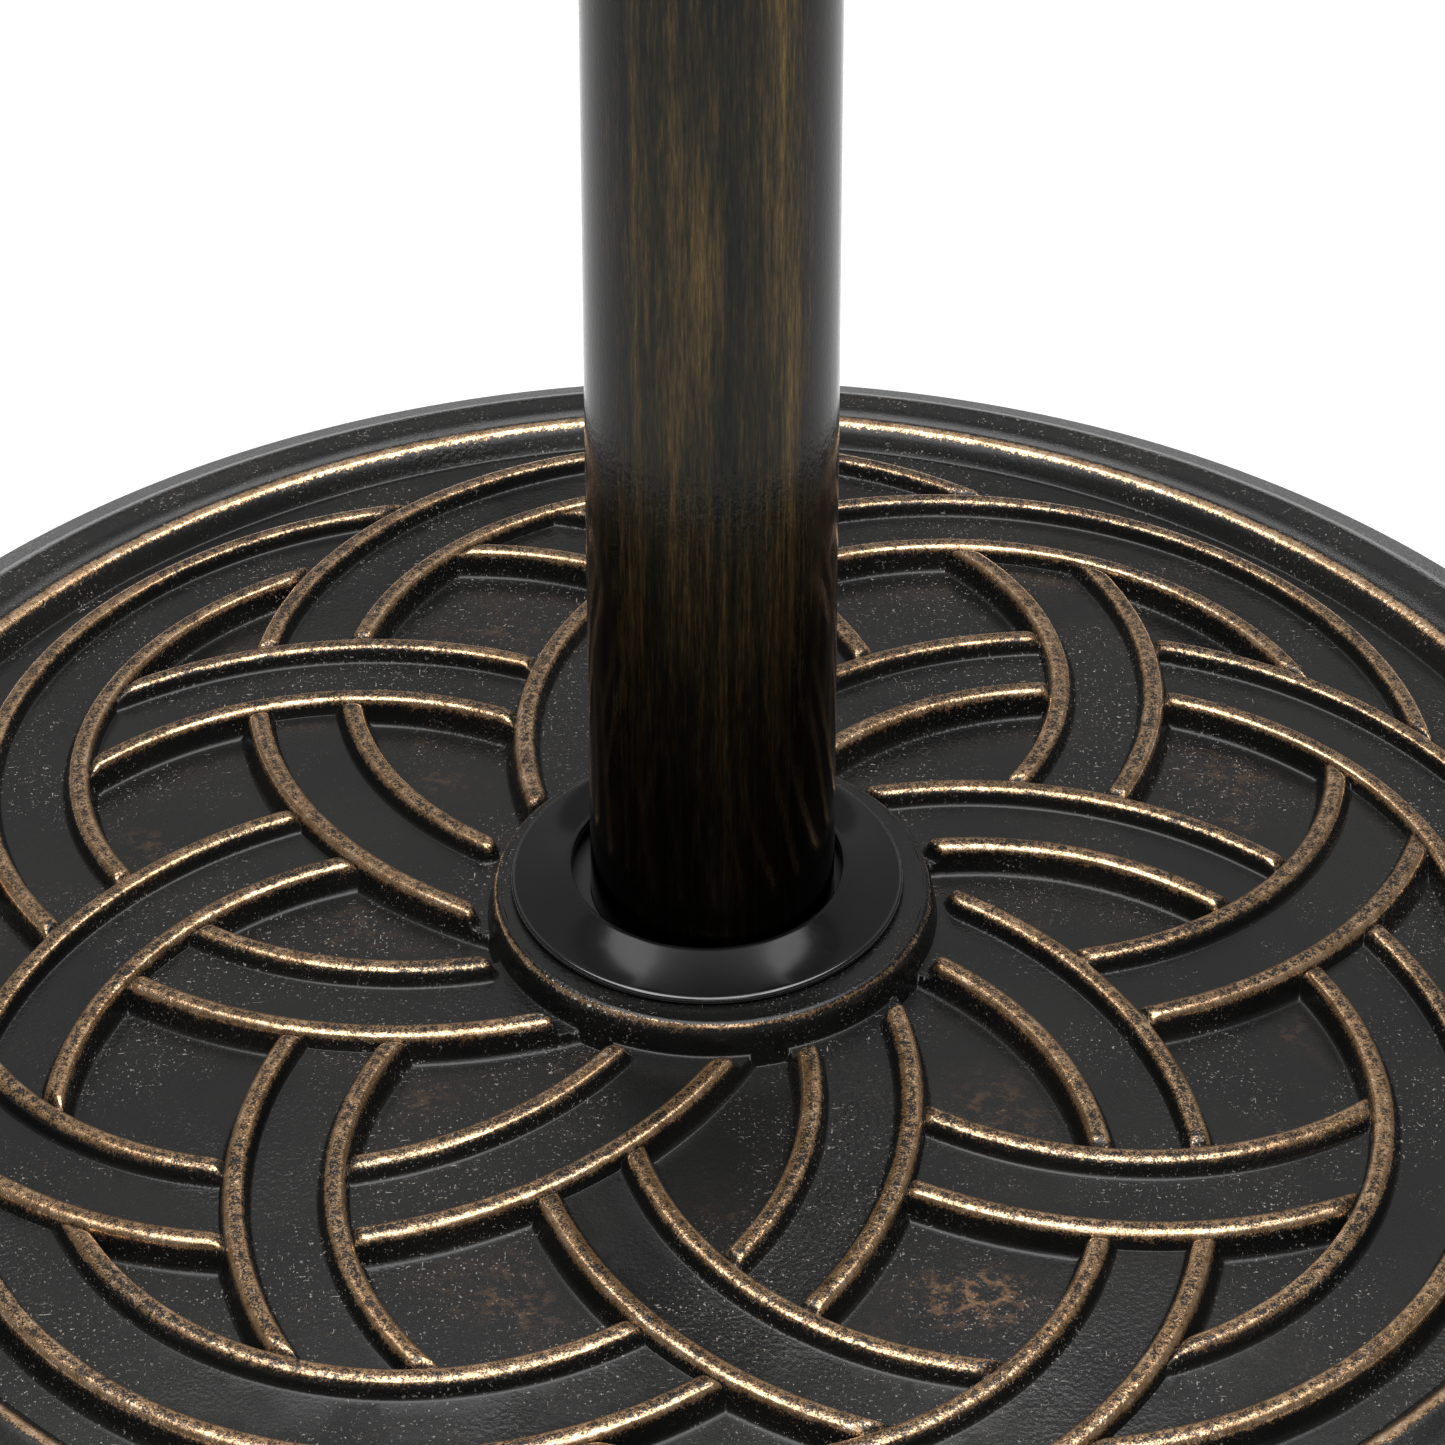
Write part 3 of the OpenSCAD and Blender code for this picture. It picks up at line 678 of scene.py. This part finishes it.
NK = 288
th = np.arange(NK) * 2 * math.pi / NK
lob = np.full(NK, 15.5)
for i in range(6):
    d = (th - i * math.pi / 3 + math.pi) % (2 * math.pi) - math.pi
    g = 5.5 ** 2 - (15 * np.sin(d)) ** 2
    lob = np.where((g > 0) & (np.cos(d) > 0), np.maximum(lob, 15 * np.cos(d) + np.sqrt(np.maximum(g, 0))), lob)
kern = np.exp(-(np.arange(-12, 13) / 4.5) ** 2); kern /= kern.sum()
soft = sum(w * np.roll(lob, k) for w, k in zip(kern, range(-12, 13)))
lob = np.minimum(soft, lob.max())
KM = KNOB_X0 + 6.0
rings = []


def knob_ring(rr, x): rings.append([(x, float(r) * math.sin(a), CLAMP_Z + float(r) * math.cos(a)) for r, a in zip(rr, th)])


circ = lambda r: np.full(NK, float(r))
knob_ring(circ(5.2), KNOB_X0 + 0.6); knob_ring(circ(5.6), KNOB_X0); knob_ring(circ(8.6), KNOB_X0)
for a in (30, 60, 90): knob_ring(circ(8.6 + 0.9 * math.sin(math.radians(a))), KNOB_X0 + 0.9 * (1 - math.cos(math.radians(a))))
knob_ring(circ(9.5), KM - 1.6); knob_ring(circ(9.8), KM - 0.7); knob_ring(circ(10.7), KM - 0.15); knob_ring(circ(12.0), KM)
knob_ring(lob - 2.2, KM)
for a in (20, 40, 60, 75, 90): knob_ring(lob - 1.8 * (1 - math.sin(math.radians(a))), KM + 1.8 * (1 - math.cos(math.radians(a))))
for t in (0.2, 0.4, 0.6, 0.8): knob_ring(lob - 0.35 * math.sin(math.pi * t), KM + 1.8 + (KNOB_X1 - KM - 4.6) * t)
for a in (90, 75, 60, 45, 30, 15, 0): knob_ring(lob - 2.8 * (1 - math.sin(math.radians(a))), KNOB_X1 - 2.8 * (1 - math.cos(math.radians(a))))
knob_ring(np.minimum(lob - 4.2, 13.2), KNOB_X1); knob_ring(circ(12.0), KNOB_X1 - 0.12); knob_ring(circ(10.4), KNOB_X1 - 0.55)
knob_ring(circ(9.6), KNOB_X1 - 0.45); knob_ring(circ(9.3), KNOB_X1 - 0.75); knob_ring(circ(9.25), KNOB_X1 - 2.0)
knob = paint(fan("clamp_knob_skin", rings), "satin")
sharp(knob, 42)
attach(knob, "clamp_knob"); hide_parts("clamp_knob")

cap_lo, cap_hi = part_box("knob_cap")
cx1 = cap_hi.x / MM
cap = paint(lathe("knob_cap_skin", fillet([(0, cx1 - 3.4), (9.05, cx1 - 3.4), (9.05, cx1 - 1.5, 0.5), (7.4, cx1 - 0.75, 1.2), (4.6, cx1 - 0.25, 2), (0, cx1)], 4)[:-1] + [(0, cx1)], 96, closed=True, xaxis=True, cz=CLAMP_Z), "satin")
sharp(cap, 40)
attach(cap, "clamp_knob"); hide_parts("knob_cap")

stud_lo, stud_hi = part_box("knob_stud")
sx0, sx1 = stud_lo.x / MM, stud_hi.x / MM
NS, pitch = 48, 1.5
rings = []
for k in range(int((KNOB_X0 + 3 - sx0 - 2.2) / 0.125) + 1):
    x = sx0 + 2.2 + 0.125 * k
    fade = min(1.0, (x - sx0 - 2.2) / 1.2) * min(1.0, max(0.0, (KNOB_X0 + 1.0 - x) / 1.0))
    row = []
    for q in range(NS):
        a = 2 * math.pi * q / NS
        ph = ((x - sx0) / pitch - q / NS) % 1.0
        h = abs(2 * ph - 1)                       # 60 degree thread with a small flat at crest and root
        dep = 0.78 * min(1.0, max(0.0, (h - 0.12) / 0.72))
        r = 4.97 - dep * fade - (0.5 * (1 - min(1.0, (x - sx0 - 2.2) / 0.9)))
        row.append((x, r * math.sin(a), CLAMP_Z + r * math.cos(a)))
    rings.append(row)
rod = fan("thread", rings)
nose = lathe("nose", fillet([(0, sx0), (2.35, sx0, 0.4), (2.35, sx0 + 2.4), (0, sx0 + 2.4)], 3), 32, xaxis=True, cz=CLAMP_Z)
shank = lathe("shank", [(0, KNOB_X0 + 2.5), (4.95, KNOB_X0 + 2.5), (4.95, sx1), (0, sx1)], 48, xaxis=True, cz=CLAMP_Z)
stud = paint(joined("knob_stud_thread", [rod, nose, shank]), "zinc")
sharp(stud, 50)
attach(stud, "clamp_knob"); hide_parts("knob_stud")

boss_in, br = 5.1, 9.0
rings = []
nb = 96
bt = np.arange(nb) * 2 * math.pi / nb
seat = lambda r: np.sqrt(TUBE_R ** 2 - (r * np.sin(bt)) ** 2) + 0.02
row = lambda r, x: [(float(xx), r * math.sin(a), CLAMP_Z + r * math.cos(a)) for xx, a in zip(np.broadcast_to(x, (nb,)), bt)]
rings += [row(boss_in, seat(boss_in)), row(br, seat(br)), row(br, seat(br) + 1.0), row(br, BOSS_X1 - 1.1)]
for a in (30, 60, 90): rings.append(row(br - 1.0 * (1 - math.cos(math.radians(a))), BOSS_X1 - 1.1 + 1.1 * math.sin(math.radians(a))))
rings += [row(boss_in + 0.7, BOSS_X1), row(boss_in, BOSS_X1 - 0.7), row(boss_in, seat(boss_in))]
boss = fan("clamp_boss_skin", rings, closed_ends=False)
bm = bmesh.new(); bm.from_mesh(boss.data); bmesh.ops.remove_doubles(bm, verts=bm.verts, dist=1e-6); bmesh.ops.recalc_face_normals(bm, faces=bm.faces); bm.to_mesh(boss.data); bm.free()
paint(boss, "tube"); sharp(boss, 40)
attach(boss, "base"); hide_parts("clamp_boss")

# weld bead round the boss, with its ripples
rings = []
nw, nc = 240, 12
for k in range(nw):
    a = 2 * math.pi * k / nw
    x = math.sqrt(TUBE_R ** 2 - (9.6 * math.sin(a)) ** 2)
    c = np.array([x + 0.35, 9.6 * math.sin(a), CLAMP_Z + 9.6 * math.cos(a)])
    out = np.array([0, math.sin(a), math.cos(a)])
    rad = 1.15 + 0.16 * math.cos(a * 44) + 0.10 * math.sin(a * 7 + 1)
    rings.append([tuple(c + rad * (math.cos(b) * out + math.sin(b) * np.array([1.0, 0, 0]))) for b in np.arange(nc) * 2 * math.pi / nc])
rings.append(rings[0])
weld = fan("boss_weld_bead", rings, closed_ends=False)
bm = bmesh.new(); bm.from_mesh(weld.data); bmesh.ops.remove_doubles(bm, verts=bm.verts, dist=1e-6); bmesh.ops.recalc_face_normals(bm, faces=bm.faces); bm.to_mesh(weld.data); bm.free()
paint(weld, "tube")
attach(weld, "base")

# ------------------------------------------------------------------ top collar and pole sleeve
c0 = collar_lo.z / MM
collar = paint(lathe("top_collar_skin", fillet([(25.15, c0), (27.5, c0, 0.5), (27.5, COLLAR_TOP, 1.3), (23.55, COLLAR_TOP, 0.5),
                                                (23.55, TUBE_TOP + 0.1), (25.15, TUBE_TOP + 0.1)], 5), 160), "satin")
sharp(collar, 35)
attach(collar, "base"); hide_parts("top_collar")

sl_lo, sl_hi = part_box("pole_sleeve")
s0, s1 = sl_lo.z / MM, sl_hi.z / MM
sleeve = lathe("pole_sleeve_skin", fillet([(19.5, s0), (22.4, s0, 0.4), (23.15, s0 + 2.0, 0.6), (23.15, s1 - 2.7), (26.0, s1 - 2.7, 0.3),
                                           (26.0, s1, 1.1), (20.3, s1, 0.4), (19.5, s1 - 0.9, 0.4)], 5), 144)
slotb = block("slot", 10, -6.5, s0 - 5, 30, 6.5, CLAMP_Z)
slotc = lathe("slot_end", [(0, 10), (6.5, 10), (6.5, 30), (0, 30)], 64, xaxis=True, cz=CLAMP_Z)
slotb.location.x = 0.0
sleeve = cut(sleeve, [slotb, slotc])
sleeve.data.polygons.foreach_set("use_smooth", [True] * len(sleeve.data.polygons))
paint(sleeve, "satin"); sharp(sleeve, 35)
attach(sleeve, "pole_sleeve"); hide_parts("pole_sleeve")

# ------------------------------------------------------------------ feet and fixings under the base
FOOT_R0, FEET = 185.0, 6
foot_lo, foot_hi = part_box("rubber_feet")
FH = foot_hi.z / MM


def around(maker, count, r0, turn=0.0):
    obs = []
    for i in range(count):
        a = math.radians(turn + 360 / count * i)
        for o in maker():
            o.matrix_basis = Matrix.Translation((r0 * MM * math.cos(a), r0 * MM * math.sin(a), 0)) @ Matrix.Rotation(a + 0.4 * i, 4, "Z")
            obs.append(o)
    return obs


foot_line = fillet([(5.2, 0.0, 0.3), (8.2, 0.0), (8.5, 0.45), (9.1, 0.45), (9.4, 0.0), (13.0, 0.0, 0.5), (13.95, 1.1, 0.4), (13.95, FH), (2.8, FH), (2.8, 3.0), (5.2, 3.0)], 4)
feet = paint(joined("rubber_feet_skin", around(lambda: [lathe("f", foot_line, 64)], FEET, FOOT_R0)), "rubber")
sharp(feet, 40)
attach(feet, "base"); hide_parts("rubber_feet")


def screw(head_r, z0, z1, shank_r, top_z, arm, w):
    """Pan head facing down with a cross recess."""
    h = z1 - z0
    hd = lathe("h", [(0, z0), (head_r * 0.55, z0 + 0.04), (head_r * 0.85, z0 + 0.22 * h), (head_r * 0.97, z0 + 0.5 * h), (head_r, z0 + 0.8 * h),
                     (head_r, z1), (shank_r, z1), (shank_r, top_z - 0.6), (shank_r * 0.5, top_z), (0, top_z)], 48)
    tools = []
    for a in (0, 90):
        t = block("t", -arm, -w / 2, z0 - 1, arm, w / 2, z0 + 0.62 * h)
        t.matrix_basis = Matrix.Rotation(math.radians(a), 4, "Z"); tools.append(t)
    bpy.context.view_layer.update()
    return cut(hd, tools)


def screws(name, node, count, r0, turn, head_r, shank_r, arm, w, head_h):
    a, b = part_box(node)
    ob = paint(joined(name, around(lambda: [screw(head_r, a.z / MM, a.z / MM + head_h, shank_r, b.z / MM, arm, w)], count, r0, turn)), "zinc")
    sharp(ob, 35)
    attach(ob, "base"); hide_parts(node)


screws("foot_screws_skin", "foot_screws", FEET, FOOT_R0, 0, 4.6, 2.5, 2.7, 1.0, 1.8)
screws("plate_screws_skin", "plate_screws", 4, 36.0, 45, 3.8, 2.0, 2.3, 0.8, 1.8)

# anchor bolt with its chamfered hexagon
bo_lo, bo_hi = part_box("anchor_bolt")
z0, z1 = bo_lo.z / MM, bo_lo.z / MM + 7.5
ta = np.arange(72) * 2 * math.pi / 72
hexr = 9.0 / np.cos((ta + math.pi / 6) % (math.pi / 3) - math.pi / 6)
ringp = lambda rr, zz: [(float(r) * math.cos(a), float(r) * math.sin(a), float(q)) for r, a, q in zip(np.broadcast_to(rr, (72,)), ta, np.broadcast_to(zz, (72,)))]
head = fan("head", [ringp(8.3, z0), ringp(8.8, z0 + 0.02), ringp(hexr - 0.02, z0 + 0.05 + (hexr - 8.9) * 0.577), ringp(hexr, z0 + 0.12 + (hexr - 8.9) * 0.577), ringp(hexr, z1)])
rod = lathe("rod", [(0, z1 - 1), (5.98, z1 - 1), (5.98, bo_hi.z / MM - 1.0), (5.0, bo_hi.z / MM), (0, bo_hi.z / MM)], 48)
bolt = paint(joined("anchor_bolt_skin", [head, rod]), "zinc")
sharp(bolt, 25)
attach(bolt, "base"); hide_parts("anchor_bolt")

# ------------------------------------------------------------------ carried-over CAD nodes
for node, key in (("ballast_core", "cement"), ("bottom_plate", "plate"), ("hub_bushing", "nylon"), ("stem_tube", "tube"),
                  ("tube_foot_plug", "steel"), ("flat_washer", "zinc"), ("spring_washer", "steel"), ("pressure_pad", "nylon")):
    paint(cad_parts[node], key)

# ------------------------------------------------------------------ floor, light, camera
S = bpy.context.scene
bm = bmesh.new()
bmesh.ops.create_grid(bm, x_segments=2, y_segments=2, size=6.0)
me = bpy.data.meshes.new("floor"); bm.to_mesh(me); bm.free()
floor = bpy.data.objects.new("floor", me); S.collection.objects.link(floor)
floor.location = (0, 0, -0.0002)
Mf = Mat("pale_floor")
Mf.set(color=Mf.mix(Mf.noise(3, 2, 0.5), (0.90, 0.90, 0.90), (0.92, 0.92, 0.92)), rough=0.9, spec=0.0)
floor.data.materials.append(Mf.m)


def area(name, loc, look, size, power, size_y=None, color=(1, 1, 1)):
    d = bpy.data.lights.new(name, "AREA")
    d.shape = "RECTANGLE"; d.size = size; d.size_y = size_y or size; d.energy = power; d.color = color
    o = bpy.data.objects.new(name, d); S.collection.objects.link(o)
    o.location = loc
    o.rotation_euler = (Vector(look) - Vector(loc)).to_track_quat("-Z", "Y").to_euler()
    return o


area("key_top", (0.0, -0.15, 2.1), (0, 0, 0), 2.2, 72)
area("front_soft", (0.35, -2.2, 1.9), (0, 0, 0.1), 1.2, 8)
area("back_card", (0, 2.0, 1.65), (0, 0, 0.03), 3.2, 6.2, 1.7)

w = bpy.data.worlds.new("studio"); S.world = w
w.use_nodes = True
bg = w.node_tree.nodes["Background"]
bg.inputs["Color"].default_value = (1, 1, 1, 1)
bg.inputs["Strength"].default_value = 0.13

# camera at the photograph's viewing angle: focal length in pixels of a 1445 frame, pitch, roll, distance
U = 25.0
f_px, pitch, roll, D, px, py = 7395.4, math.radians(37.8297), math.radians(-0.0127), 60.904, 714.4, 899.2
fw = Vector((0, math.cos(pitch), -math.sin(pitch))); up = Vector((0, math.sin(pitch), math.cos(pitch))); rt = Vector((1, 0, 0))
r2 = rt * math.cos(roll) + up * math.sin(roll); u2 = -rt * math.sin(roll) + up * math.cos(roll)
dx, dy = (px - 722.5) / f_px, (py - 722.5) / f_px
C = -(fw + r2 * dx - u2 * dy) * D * U * MM + Vector((0.0004, 0, CROWN_H * MM))
cam = bpy.data.cameras.new("camera"); cam.sensor_width = 36; cam.lens = f_px / 1445 * 36
cam.clip_start = 0.05; cam.clip_end = 50
co = bpy.data.objects.new("camera", cam); S.collection.objects.link(co)
R = Matrix((r2, u2, -fw)).transposed()
co.matrix_world = Matrix.Translation(C) @ R.to_4x4()
S.camera = co
S.view_settings.view_transform = "Standard"
